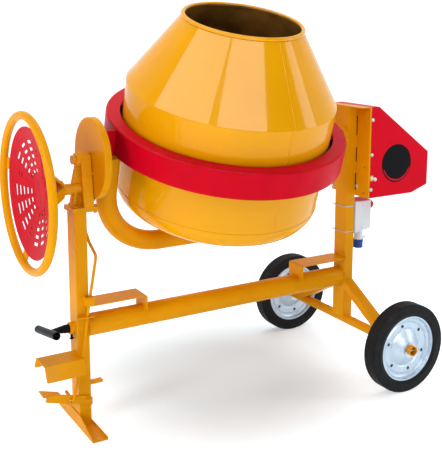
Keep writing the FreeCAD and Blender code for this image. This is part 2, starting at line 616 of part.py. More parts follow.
def drum_spindle():
    """Fixed spindle that stands on the yoke and carries the drum's hub."""
    seat = rod(30.0, (0, 0, YOKE_LOW + YOKE_R - 12), (0, 0, YOKE_LOW + YOKE_R + 4))
    pin = rod(25.0, (0, 0, YOKE_LOW + YOKE_R + 4), (0, 0, drum_floor() - 14))
    return on_drum_axis(seat.fuse(pin).removeSplitter())


# ---- drum ---------------------------------------------------------------------------
def dish_arc(offset):
    """Points of the dished bottom: knuckle end, crown midpoint and centre, pushed in by offset."""
    slope = math.radians(CROWN_TURN_DEG)
    knuckle_centre = DRUM_R - KNUCKLE_R
    radius = KNUCKLE_R - offset
    end = (knuckle_centre + radius * math.sin(slope), DRUM_LOW - radius * math.cos(slope))
    crown_r = (knuckle_centre + KNUCKLE_R * math.sin(slope)) / math.sin(slope)
    crown_z = DRUM_LOW - KNUCKLE_R * math.cos(slope) + crown_r * math.cos(slope)
    sphere = crown_r - offset
    half = slope / 2.0
    middle = (sphere * math.sin(half), crown_z - sphere * math.cos(half))
    centre = (0.0, crown_z - sphere)
    part_way = math.radians(38)
    bend = (knuckle_centre + radius * math.cos(part_way), DRUM_LOW - radius * math.sin(part_way))
    return end, middle, centre, bend


def drum_floor():
    return dish_arc(0)[2][1]


def drum_shell():
    wall = DRUM_WALL
    outline = [(DRUM_R, DRUM_LOW), (DRUM_R, DRUM_HIGH), (MOUTH_R, MOUTH_HIGH), (MOUTH_R - wall, MOUTH_HIGH),
               (DRUM_R - wall, DRUM_HIGH - 1.5), (DRUM_R - wall, DRUM_LOW)]
    shell = lathe(outline, (0, 0, 0), (0, 0, 1))
    bead = Part.makeTorus(MOUTH_R, BEAD_R, V(0, 0, MOUTH_HIGH))
    return on_drum_axis(shell.cut(bead))


def mouth_ring():
    return on_drum_axis(Part.makeTorus(MOUTH_R, BEAD_R, V(0, 0, MOUTH_HIGH)))


def drum_bottom():
    sheet = 4.0
    end, middle, centre, bend = dish_arc(0)
    end_in, middle_in, centre_in, bend_in = dish_arc(sheet)
    outline = [(DRUM_R, DRUM_LOW), (*bend, *end), (*middle, *centre), centre_in, (*middle_in, *end_in),
               (*bend_in, DRUM_R - sheet, DRUM_LOW)]
    return on_drum_axis(lathe(outline, (0, 0, 0), (0, 0, 1)))


def drum_hub():
    """Flange and bearing housing under the drum."""
    floor = drum_floor()
    flange = rod(95.0, (0, 0, floor - 12), (0, 0, floor + 8))
    end, middle, centre, _ = dish_arc(0)
    inside = lathe([centre, (*middle, *end), (end[0], 0), (0, 0)], (0, 0, 0), (0, 0, 1))
    housing = rod(48.0, (0, 0, floor - 36), (0, 0, floor - 12))
    hub = flange.cut(inside).fuse(housing).removeSplitter()
    bore = rod(25.0 + RUNNING, (0, 0, floor - 60), (0, 0, floor - 13.5))
    return on_drum_axis(hub.cut(bore))


def mixing_blades():
    """Two bent paddles welded inside the drum, half a turn apart."""
    reach, thick = 130.0, 8.0
    inner_r = DRUM_R - DRUM_WALL
    z0, z1 = DRUM_LOW + 20, DRUM_HIGH - 10
    blade = prism([(inner_r - 8, 0, z0), (inner_r - reach, 0, z0 + 30), (inner_r - reach, 0, z1 - 90),
                   (inner_r - 8, 0, z1)], (0, thick, 0))
    lip = prism([(inner_r - reach, thick, z0 + 30), (inner_r - reach, thick, z1 - 90),
                 (inner_r - reach - 26, thick - 40, z1 - 120), (inner_r - reach - 26, thick - 40, z0 + 60)],
                (thick, 0, 0))
    paddle = blade.fuse(lip)
    feet = [box(inner_r - 30, inner_r - 1.5, 0, thick, z, z + 60) for z in (z0 + 40, 0, z1 - 100)]
    paddle = paddle.fuse(feet).removeSplitter()
    paddle = turned(paddle, 14, (inner_r - reach / 2, 0, 0), (1, 0, 0))
    inside = rod(inner_r - 0.2, (0, 0, -400), (0, 0, 400))
    paddle = paddle.common(inside)
    start = turned(paddle, 35, (0, 0, 0), (0, 0, 1))
    return on_drum_axis(group(start, turned(start, 180, (0, 0, 0), (0, 0, 1))))


def crown_gear():
    """Cast ring round the drum with teeth on its underside, open outwards for the pinion."""
    ring = lathe([(CROWN_IN_R, CROWN_TOOTH_TOP), (CROWN_OUT_R, CROWN_TOOTH_TOP), (CROWN_OUT_R, CROWN_HIGH),
                  (CROWN_IN_R, CROWN_HIGH)], (0, 0, 0), (0, 0, 1))
    half = 5.8
    phase = math.pi / CROWN_TEETH
    star = tooth_ring(CROWN_TEETH, CROWN_ROOT_R, CROWN_OUT_R, half, half, phase)
    teeth = prism([(x, y, CROWN_LOW) for x, y in star], (0, 0, CROWN_TOOTH_TOP - CROWN_LOW))
    teeth = teeth.cut(rod(CROWN_IN_R, (0, 0, 0), (0, 0, 100)))
    return on_drum_axis(ring.fuse(teeth))


# ---- drum drive ---------------------------------------------------------------------
PULLEY_X = 1405.0
PULLEY_R, MOTOR_PULLEY_R = 110.0, 22.0
MOTOR_Z = 884.0


def drive_shaft():
    return rod(DRIVE_SHAFT_R, (DRUM_X + CROWN_ROOT_R + 2, 0, TRUNNION_Z), (PULLEY_X + 16, 0, TRUNNION_Z))


def drive_pinion():
    tip, root = DRIVE_PITCH_R + 5.1, DRIVE_PITCH_R - 8.4
    teeth = tooth_ring(DRIVE_TEETH, root, tip, 5.2, 2.6, math.pi / 2)
    start = CROWN_ROOT_R + 2
    gear = prism([(start, y, z) for y, z in teeth], (CROWN_OUT_R - 2 - start, 0, 0))
    gear = gear.cut(rod(DRIVE_SHAFT_R, (start - 5, 0, 0), (CROWN_OUT_R + 5, 0, 0)))
    return on_drum_axis(gear)


def v_pulley(radius, x, z, bore):
    """V-belt pulley: radius is where the belt's back runs."""
    rim_r = radius + 3
    outline = [(bore, -12), (rim_r, -12), (rim_r, -9), (radius - 10, -4), (radius - 10, 4), (rim_r, 9),
               (rim_r, 12), (bore, 12)]
    return lathe(outline, (x, 0, z), (1, 0, 0))


def driven_pulley():
    pulley = v_pulley(PULLEY_R, PULLEY_X, TRUNNION_Z, DRIVE_SHAFT_R)
    window = rod(16, (PULLEY_X - 20, 62, TRUNNION_Z), (PULLEY_X + 20, 62, TRUNNION_Z))
    windows = [turned(window, 60 * k + 30, (0, 0, TRUNNION_Z), (1, 0, 0)) for k in range(6)]
    return pulley.cut(windows)


def motor_pulley():
    pulley = v_pulley(MOTOR_PULLEY_R, PULLEY_X, MOTOR_Z, 9.5)
    shaft = rod(9.5, (PULLEY_X - 14, 0, MOTOR_Z), (1453, 0, MOTOR_Z))
    return group(pulley, shaft)


def belt_wire(x, large, small):
    """Closed line round two pulleys of the given radii, in the plane at x."""
    distance = TRUNNION_Z - MOTOR_Z
    lean = math.asin((large - small) / distance)
    edges = []
    corners = []
    for side in (1, -1):
        direction = V(0, side * math.cos(lean), -math.sin(lean))
        corners.append((V(x, 0, TRUNNION_Z) + direction * large, V(x, 0, MOTOR_Z) + direction * small))
    (top_a, low_a), (top_b, low_b) = corners
    edges.append(Part.Arc(top_a, V(x, 0, TRUNNION_Z + large), top_b).toShape())
    edges.append(Part.LineSegment(top_b, low_b).toShape())
    edges.append(Part.Arc(low_b, V(x, 0, MOTOR_Z - small), low_a).toShape())
    edges.append(Part.LineSegment(low_a, top_a).toShape())
    return Part.Wire(edges)


def drive_belt():
    """V-belt, with straight sides narrow enough to run free in both grooves."""
    half, back, front = 3.0, 1.5, 8.0
    x = PULLEY_X - half
    outer = Part.Face(belt_wire(x, PULLEY_R + back, MOTOR_PULLEY_R + back)).extrude(V(2 * half, 0, 0))
    inner = Part.Face(belt_wire(x, PULLEY_R - front, MOTOR_PULLEY_R - front)).extrude(V(2 * half, 0, 0))
    return outer.cut(inner)


def motor():
    """Foot-mounted motor with cooling fins and a fan cowl."""
    x0, x1 = 1453.0, 1632.0
    body = rod(58.0, (x0 + 12, 0, MOTOR_Z), (x1 - 40, 0, MOTOR_Z))
    shield = rod(62.0, (x0, 0, MOTOR_Z), (x0 + 12, 0, MOTOR_Z))
    cowl = rod(66.0, (x1 - 40, 0, MOTOR_Z), (x1, 0, MOTOR_Z))
    fins = []
    for index in range(20):
        fin = box(x0 + 14, x1 - 44, -1.5, 1.5, MOTOR_Z + 54, MOTOR_Z + 65)
        fins.append(turned(fin, 18 * index, (0, 0, MOTOR_Z), (1, 0, 0)))
    whole = body.fuse([shield, cowl] + fins).removeSplitter()
    whole = whole.cut(rod(9.5 + RUNNING, (x0 - 1, 0, MOTOR_Z), (x0 + 20, 0, MOTOR_Z)))
    return whole.cut(box(x0 - 5, x1 + 5, -80, 80, MOTOR_Z - 90, MOTOR_Z - 61))


def motor_mount():
    """Angle plate that holds the motor off the chassis plate."""
    shelf = box(BOX_X + 3, 1590, -70, 70, MOTOR_Z - 66, MOTOR_Z - 61)
    back = box(BOX_X + 3, BOX_X + 8, -70, 70, MOTOR_Z - 66, MOTOR_Z + 60)
    corner_x, shelf_z = BOX_X + 8, MOTOR_Z - 61
    gusset = [(corner_x, shelf_z), (corner_x + 52, shelf_z), (corner_x, MOTOR_Z + 60)]
    sides = [prism([(x, y, z) for x, z in gusset], (0, 5, 0)) for y in (-70, 65)]
    return shelf.fuse([back] + sides).removeSplitter()


# ---- drive housing ------------------------------------------------------------------
COVER_START = BOX_X + 9
COVER_PROFILE = [(COVER_START, BOX_LOW), (1600, BOX_LOW), (BOX_END, 820), (BOX_END, 976), (1388, BOX_HIGH),
                 (COVER_START, BOX_HIGH)]
BOLT_X = COVER_START + 7
BOLT_HEIGHTS = (1144.0, 986.0, 827.0)
BIG_BOLT_R = 4.0
PLATE_BOLTS = ((-53.0, 832.0), (120.0, 808.0))      # through the plate's face
LATCH, LATCH_OUTER = (1356.0, 880.0), (1376.0, 873.0)   # bolts of the cover's latch, in x and z
LATCH_T = 2.4


def chassis_plate():
    """Folded plate on the axle post's outer face that carries the drive and its cover."""
    face, lip = BOX_X + 3, 2.2
    plate = box(BOX_X, face, -BOX_Y, BOX_Y, BOX_LOW, BOX_HIGH)
    top = box(1287, face, -BOX_Y, BOX_Y, BOX_HIGH - 3, BOX_HIGH)
    sides = [box(BOX_X, BOX_X + 30, y, y + 3, BOX_LOW + 4, BOX_HIGH - 4)
             for y in (-BOX_Y + lip, BOX_Y - lip - 3)]
    edges = [box(BOX_X, COVER_START - 0.5, y, y + lip, BOX_LOW, BOX_HIGH) for y in (-BOX_Y, BOX_Y - lip)]
    x, z = LATCH
    latch = box(BOX_X, x + 8, -BOX_Y - LATCH_T, -BOX_Y, z - 13, z + 12)
    plate = plate.fuse([top] + sides + edges + [latch]).removeSplitter()
    plate = plate.cut(rod(TRUNNION_TUBE_R + 3, (BOX_X - 20, 0, TRUNNION_Z), (BOX_X + 20, 0, TRUNNION_Z)))
    plate = plate.cut(rod(BIG_BOLT_R + 0.2, (x, -BOX_Y - 5, z), (x, -BOX_Y + 12, z)))
    for y, z in ((-100.6, 927), (-101, 808)):
        plate = plate.cut(rod(4, (BOX_X - 5, y, z), (BOX_X + 10, y, z)))
    for y, z in PLATE_BOLTS:
        plate = plate.cut(rod(BIG_BOLT_R + 0.2, (BOX_X - 5, y, z), (BOX_X + 10, y, z)))
    for z in BOLT_HEIGHTS:
        plate = plate.cut(rod(3.2, (BOLT_X, -BOX_Y - 5, z), (BOLT_X, -BOX_Y + 12, z)))
        plate = plate.cut(rod(3.2, (BOLT_X, BOX_Y - 12, z), (BOLT_X, BOX_Y + 5, z)))
    return plate


def motor_cover():
    """Sheet hood over the drive, closed on all sides but the one on the chassis plate."""
    sheet = 2.0
    solid = prism([(x, -BOX_Y, z) for x, z in COVER_PROFILE], (0, 2 * BOX_Y, 0))
    low, high, end = BOX_LOW + sheet, BOX_HIGH - sheet, BOX_END - sheet
    inner = [(COVER_START - 1, low), (1599.6, low), (end, 821.4), (end, 975.0), (1387.3, high),
             (COVER_START - 1, high)]
    hollow = prism([(x, -BOX_Y + sheet, z) for x, z in inner], (0, 2 * (BOX_Y - sheet), 0))
    hood = solid.cut(hollow)
    for z in BOLT_HEIGHTS:
        hood = hood.cut(rod(3.2, (BOLT_X, -BOX_Y - 5, z), (BOLT_X, BOX_Y + 5, z)))
    for x, z in (LATCH, LATCH_OUTER):
        hood = hood.cut(rod(BIG_BOLT_R + 0.2, (x, -BOX_Y - 5, z), (x, 0, z)))
    return hood


def cover_bolts():
    pieces = []
    for z in BOLT_HEIGHTS:
        for side in (-1, 1):
            pieces.append(bolt(3.0, 7.0, 4.5, 9, (BOLT_X, side * BOX_Y, z), (0, side, 0)))
    (x, z), (outer_x, outer_z) = LATCH, LATCH_OUTER
    pieces.append(bolt(BIG_BOLT_R, 7.5, 6.0, 12, (x, -BOX_Y - LATCH_T, z), (0, -1, 0)))
    pieces.append(bolt(BIG_BOLT_R, 7.5, 6.0, 9, (outer_x, -BOX_Y, outer_z), (0, -1, 0)))
    for y, z in PLATE_BOLTS:
        pieces.append(bolt(BIG_BOLT_R, 9.0, 6.0, 2.5, (BOX_X, y, z), (-1, 0, 0)))
    return group(*pieces)


SWITCH = (1340.0, 1431.0, -45.0, 38.0, 606.0, 757.0)
SWITCH_RISE = 14.0                     # the case's bottom is higher at its outer end
STOP_Y, STOP_Z, START_Z = -14.0, 728.0, 672.0
INLET_X, INLET_Y = 1391.0, -8.0
NECK_LOW = 566.0


def switch_case():
    """Outside of the switch box, solid."""
    x0, x1, y0, y1, z0, z1 = SWITCH
    case = prism([(x0, y0, z0), (x1, y0, z0 + SWITCH_RISE), (x1, y0, z1), (x0, y0, z1)], (0, y1 - y0, 0))
    return case.makeFillet(5, [edge for edge in case.Edges if edge.BoundBox.XLength > 50])


def switch_box():
    x0, x1, y0, y1, z0, z1 = SWITCH
    wall = 3.0
    inner = [(x0 + wall, z0 + wall + 1), (x1 - wall, z0 + wall + SWITCH_RISE), (x1 - wall, z1 - wall),
             (x0 + wall, z1 - wall)]
    case = switch_case().cut(prism([(x, y0 + wall, z) for x, z in inner], (0, y1 - y0 - 2 * wall, 0)))
    for z in (STOP_Z, START_Z):
        case = case.cut(rod(8.2, (x1 - 5, STOP_Y, z), (x1 + 5, STOP_Y, z)))
    bracket = box(BOX_X, x0, y0 + 10, y1 - 10, z0 + 10, z1 - 8)
    return case.fuse(bracket)


def stop_button():
    x1 = SWITCH[1]
    return lathe([(0, -8), (8, -8), (8, 12), (12, 14), (19, 17), (19, 24), (16, 29), (9, 32), (0, 33)],
                 (x1, STOP_Y, STOP_Z), (1, 0, 0))


def start_button():
    x1 = SWITCH[1]
    return lathe([(0, -8), (8, -8), (8, 6), (7, 7), (0, 7)], (x1, STOP_Y, START_Z), (1, 0, 0))


def inlet_neck():
    """Stepped neck between the switch box and the power inlet, with a catch at its side."""
    reach = SWITCH[4] + SWITCH_RISE - NECK_LOW
    neck = lathe([(0, 0), (23, 0), (23, 5), (20, 9), (20, reach), (0, reach)], (INLET_X, INLET_Y, NECK_LOW),
                 (0, 0, 1))
    catch = box(INLET_X + 15, INLET_X + 41, INLET_Y - 7, INLET_Y + 7, NECK_LOW, NECK_LOW + 9)
    catch = catch.makeFillet(3, [edge for edge in catch.Edges if edge.BoundBox.XLength > 20])
    return neck.fuse(catch).removeSplitter().cut(switch_case())


def inlet_socket():
    """Round power inlet with a wide collar, open below, with its pins inside."""
    cup = lathe([(0, 0), (24.6, 0), (24.6, 8), (22.5, 9), (22.5, 40), (19.5, 40), (19.5, 11), (0, 11)],
                (INLET_X, INLET_Y, NECK_LOW), (0, 0, -1))
    pins = []
    for k in (90, 210, 330):
        y, x = INLET_Y + 11 * math.sin(math.radians(k)), INLET_X + 11 * math.cos(math.radians(k))
        pins.append(rod(3.0, (x, y, NECK_LOW - 11), (x, y, NECK_LOW - 34)))
    return group(cup, *pins)


def wire_ties():
    """Two wire loops round the axle post that hold the switch box, each with a twisted tail."""
    loops = []
    for z in (735.0, 616.0):
        outer = rounded_section(POST_X + 6, POST_Y + 6, 6)
        inner = rounded_section(POST_X, POST_Y, CORNER_R)
        outer_solid = Part.Face(outer).extrude(V(0, 0, 4))
        ring = outer_solid.cut(Part.Face(inner).extrude(V(0, 0, 4)))
        ring = ring.cut(box(POST_X / 2 - 0.01, POST_X / 2 + 10, -36, 30, -1, 5))
        tail = rod(1.8, (-POST_X / 2 - 1.5, 36, 2), (-POST_X / 2 - 14, 43, 6))
        loops.append(moved(ring.fuse(tail), POST_SPACING, 0, z))
    return group(*loops)


# ---- brake pedal and rod ------------------------------------------------------------
PEDAL_Y0, PEDAL_Y1 = -46.0, -42.0
TONGUE = (62.0, 76.0)
TONGUE_LOW = POST_TOP + 12 + ROD_TRAVEL + 1
BRAKE_PATH = [(-66, -2, 146), (-54, ROD_FRONT_Y, 120), (-6, ROD_FRONT_Y, 325), (22, ROD_FRONT_Y, 520),
              (32, -50, 561), (57, -45, 690), (48, 0, 734), (ROD_X, ROD_Y, 780),
              (ROD_X, ROD_Y, TONGUE_LOW + 4)]
BRAKE_BENDS = [7, 60, 60, 60, 28, 28, 40]


def brake_rod():
    """Bent rod from the pedal up past the post, with a tongue under the tilt gear's rim."""
    bar = bent_rod(BRAKE_PATH, BRAKE_BENDS, ROD_R)
    foot = box(ROD_X, TONGUE[1], -6, 12, TONGUE_LOW, TONGUE_LOW + 8)
    tongue = box(TONGUE[0], TONGUE[1], -6, 6, TONGUE_LOW, TRUNNION_Z - 154.5)
    return bar.fuse([foot, tongue]).removeSplitter()


def pedal():
    """Arm on the post's face, slanted up to the left, with a tread folded over its outer end."""
    thick = PEDAL_Y1 - PEDAL_Y0
    web = prism([(x, PEDAL_Y0, z) for x, z in ((24, 85), (28, 90), (28, 117), (22, 122), (-102, 157.5),
                                               (-160, 162), (-160, 138))], (0, thick, 0))
    flange = prism([(x, PEDAL_Y1, z) for x, z in ((-160, 138), (-160, 141.2), (-34, 105), (-34, 101.7))],
                   (0, 14, 0))
    tread_x, tread_z, tread_tilt = -102.0, 153.5, 4.5
    tread = prism([(tread_x, PEDAL_Y0, tread_z), (-172, PEDAL_Y0, tread_z), (-170, 21, tread_z),
                   (-103, -16, tread_z)], (0, 0, 4))
    tread = turned(tread, tread_tilt, (tread_x, 0, tread_z), (0, 1, 0))
    arm = web.fuse([flange, tread]).removeSplitter()
    x, z = PEDAL_PIVOT.x, PEDAL_PIVOT.z
    pivot_hole = rod(6.2, (x, PEDAL_Y0 - 5, z), (x, PEDAL_Y1 + 5, z))
    hook_slot = box(-65.5, -45, PEDAL_Y0 - 1, PEDAL_Y1 + 1, 115, 134.5)
    return arm.cut([pivot_hole, hook_slot])


def frame_bolts():
    """Bolts of the tilt bracket, with nuts where they are outside the post, and the pedal's pivot bolt."""
    top, under = POST_TOP + 12, POST_TOP - 6
    pieces = [bolt(5.0, 8.0, 7.0, 26, (x, y, top), (0, 0, 1)) for x, y in INNER_BOLTS + OUTER_BOLTS]
    pieces += [bolt(5.0, 8.0, 7.0, 1, (x, y, under - 7), (0, 0, 1)).cut(rod(5.0, (x, y, 0), (x, y, top)))
               for x, y in OUTER_BOLTS]
    x, z, face = PEDAL_PIVOT.x, PEDAL_PIVOT.z, -POST_Y / 2
    pivot = rod(6.0, (x, PEDAL_Y0 - 6, z), (x, face, z))
    head = rod(10.0, (x, PEDAL_Y0 - 6, z), (x, PEDAL_Y0 - 0.4, z))
    spacer = rod(10.0, (x, PEDAL_Y1 + 0.4, z), (x, face, z))
    pieces.append(pivot.fuse([head, spacer]).removeSplitter())
    return group(*pieces)


# ---- drawbar ------------------------------------------------------------------------
GRIP_X, GRIP_R, GRIP_LEN, GRIP_ROLL_DEG = -133.0, 15.5, 224.0, -12.0


def drawbar():
    """Sliding tube with a flattened neck and a cross grip, turned a little about its own axis."""
    inner_end = 430.0
    bar = pipe(DRAWBAR_R, DRAWBAR_R - 2.6, (-62, 0, MAIN_TUBE_Z), (inner_end, 0, MAIN_TUBE_Z))
    round_end = Part.Wire(Part.makeCircle(DRAWBAR_R, V(-62, 0, MAIN_TUBE_Z), V(1, 0, 0)))
    flat = Part.Ellipse(V(GRIP_X + 8, 0, MAIN_TUBE_Z), 24.0, 6.0)
    flat.Axis = V(1, 0, 0)
    flat_edge = flat.toShape()
    flat_edge.rotate(V(GRIP_X + 8, 0, MAIN_TUBE_Z), V(1, 0, 0), 90 if flat.XAxis.z > 0.5 else 0)
    neck = Part.makeLoft([round_end, Part.Wire(flat_edge)], True)
    end = GRIP_LEN / 2
    grip = pipe(GRIP_R, GRIP_R - 2.6, (GRIP_X, -end, MAIN_TUBE_Z), (GRIP_X, end, MAIN_TUBE_Z))
    neck = neck.cut(rod(GRIP_R - 1.3, (GRIP_X, -60, MAIN_TUBE_Z), (GRIP_X, 60, MAIN_TUBE_Z)))
    handle = bar.fuse([neck, grip])
    return turned(handle, GRIP_ROLL_DEG, (0, 0, MAIN_TUBE_Z), (1, 0, 0))


def drawbar_screw():
    """Tommy screw in the collar that clamps the drawbar."""
    x = -POST_X / 2 - COLLAR_LEN / 2
    shank = rod(5.0, (x, 0, MAIN_TUBE_Z - 46), (x, 0, MAIN_TUBE_Z - DRAWBAR_R - 0.3))
    bar = rod(2.5, (x - 9, 0, MAIN_TUBE_Z - 42), (x + 9, 0, MAIN_TUBE_Z - 42))
    return shank.fuse(bar).removeSplitter()


# ---- all nodes ----------------------------------------------------------------------
def build():
    tube, collar = main_tube()
    sleeve, guide = rod_guides()
    one_rim, one_tyre, leg = rim(), tyre(), near_leg()
    foot_end = stack_bracket(POST_X / 2, 272.0)
    rod_corner = box(POST_X / 2, POST_X / 2 + 6, -STACK_W / 2, -POST_Y / 2 - 3, STACK_LOW, STACK_TOP)
    axle_end = stack_bracket(POST_SPACING - POST_X / 2, 1038.0)
    return {
        "foot_channel": foot_channel(),
        "foot_post": foot_post(),
        "main_tube": group(tube, collar),
        "axle_post": axle_post(),
        "foot_end_stack_bracket": foot_end.cut(rod_corner),
        "axle_end_stack_bracket": axle_end,
        "axle_tube": axle_tube(),
        "near_leg": leg,
        "far_leg": mirrored_y(leg),
        "toe_lug": toe_lug(),
        "pedal_guard": pedal_guard(),
        "rod_guides": group(sleeve, guide),
        "near_tyre": moved(one_tyre, 0, -WHEEL_Y, 0),
        "near_rim": moved(one_rim, 0, -WHEEL_Y, 0),
        "far_tyre": moved(one_tyre, 0, WHEEL_Y, 0),
        "far_rim": moved(one_rim, 0, WHEEL_Y, 0),
        "wheel_retainers": wheel_retainers(),
        "tilt_bracket": tilt_bracket(),
        "frame_bolts": frame_bolts(),
        "gear_cover": gear_cover(),
        "tilt_ring_gear": tilt_ring_gear(),
        "tilt_pinion": tilt_pinion(),
        "pinion_shaft": pinion_shaft(),
        "handwheel_ring": handwheel_ring(),
        "handwheel_spokes": handwheel_spokes(),
        "handwheel_disc": handwheel_disc(),
        "yoke_tube": yoke_tube(),
        "left_trunnion": left_trunnion(),
        "right_trunnion": right_trunnion(),
        "trunnion_flange": trunnion_flange(),
        "guard_front": guard_half(-1),
        "guard_rear": guard_half(1),
        "guard_brackets": guard_brackets(),
        "drum_spindle": drum_spindle(),
        "drum_shell": drum_shell(),
        "mouth_ring": mouth_ring(),
        "drum_bottom": drum_bottom(),
        "drum_hub": drum_hub(),
        "mixing_blades": mixing_blades(),
        "crown_gear": crown_gear(),
        "drive_shaft": drive_shaft(),
        "drive_pinion": drive_pinion(),
        "driven_pulley": driven_pulley(),
        "motor_pulley": motor_pulley(),
        "drive_belt": drive_belt(),
        "motor": motor(),
        "motor_mount": motor_mount(),
        "chassis_plate": chassis_plate(),
        "motor_cover": motor_cover(),
        "cover_bolts": cover_bolts(),
        "switch_box": switch_box(),
        "stop_button": stop_button(),
        "start_button": start_button(),
        "inlet_neck": inlet_neck(),
        "inlet_socket": inlet_socket(),
        "wire_ties": wire_ties(),
        "pedal": pedal(),
        "brake_rod": brake_rod(),
        "drawbar": drawbar(),
        "drawbar_screw": drawbar_screw(),
    }


os.makedirs("parts", exist_ok=True)
for name, shape in build().items():
    if not shape.isValid() or shape.Volume <= 0:
        print("check", name, shape.isValid(), round(shape.Volume))
    shape.exportStep("parts/" + name + ".step")
    print(name, len(shape.Solids), round(shape.Volume))
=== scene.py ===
"""Looks of the concrete mixer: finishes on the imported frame, and the detail pieces round it."""

import json
import math
import random

import bmesh
import bpy
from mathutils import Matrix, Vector


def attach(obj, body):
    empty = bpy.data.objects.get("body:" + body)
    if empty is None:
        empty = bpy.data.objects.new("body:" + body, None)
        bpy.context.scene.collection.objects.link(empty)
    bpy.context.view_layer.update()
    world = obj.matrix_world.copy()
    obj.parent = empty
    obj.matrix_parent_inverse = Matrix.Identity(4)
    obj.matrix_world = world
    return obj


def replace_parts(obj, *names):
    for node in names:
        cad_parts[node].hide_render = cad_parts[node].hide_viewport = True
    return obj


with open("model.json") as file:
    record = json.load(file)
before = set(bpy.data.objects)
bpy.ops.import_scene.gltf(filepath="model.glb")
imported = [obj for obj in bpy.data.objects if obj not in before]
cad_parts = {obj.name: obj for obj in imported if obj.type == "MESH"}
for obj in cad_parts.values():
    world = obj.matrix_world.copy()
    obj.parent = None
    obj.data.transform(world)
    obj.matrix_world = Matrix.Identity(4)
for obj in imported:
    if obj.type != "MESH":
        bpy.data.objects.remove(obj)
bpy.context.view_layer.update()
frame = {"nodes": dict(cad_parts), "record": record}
NODES = frame["nodes"]

# ---- places in the frame, in metres -------------------------------------------------
TRUNNION_Z = 1.065
LEAN = math.radians(16.6)
DRUM_X = 0.652
DRUM_R, MOUTH_R = 0.430, 0.2385
SEAM_LOW, FOLD, MOUTH_HIGH = -0.177, 0.254, 0.541       # heights on the drum's axis, from the trunnions
SEAM_TURN, CONE_SEAM_TURN = math.radians(-88.5), math.radians(-86.6)
AXLE_X = 1.312
POST_HALF_X, POST_HALF_Y = 0.025, 0.040
TUBE_Z, TUBE_BEAD_R = 0.401, 0.0455
PLATE_FACE = 1.337
STITCHES = ((1.157, 1.196), (1.013, 1.064), (0.894, 0.944), (0.792, 0.812))    # from top to bottom
COVER_Y = 0.130
BOX_NEAR_Y = -0.045

WELD_STEP = 0.0018
WAVE_RATE = 20.0                # radians per metre of a wave texture's bands at a scale of 1


def on_drum(radius, angle, along):
    """Point in the frame, in metres, from its radius, angle and height on the leaning drum axis."""
    x, y = radius * math.cos(angle), radius * math.sin(angle)
    return Vector((DRUM_X + x, y * math.cos(LEAN) - along * math.sin(LEAN),
                   TRUNNION_Z + y * math.sin(LEAN) + along * math.cos(LEAN)))


DRUM_MIDDLE = on_drum(0.0, 0.0, 0.1)


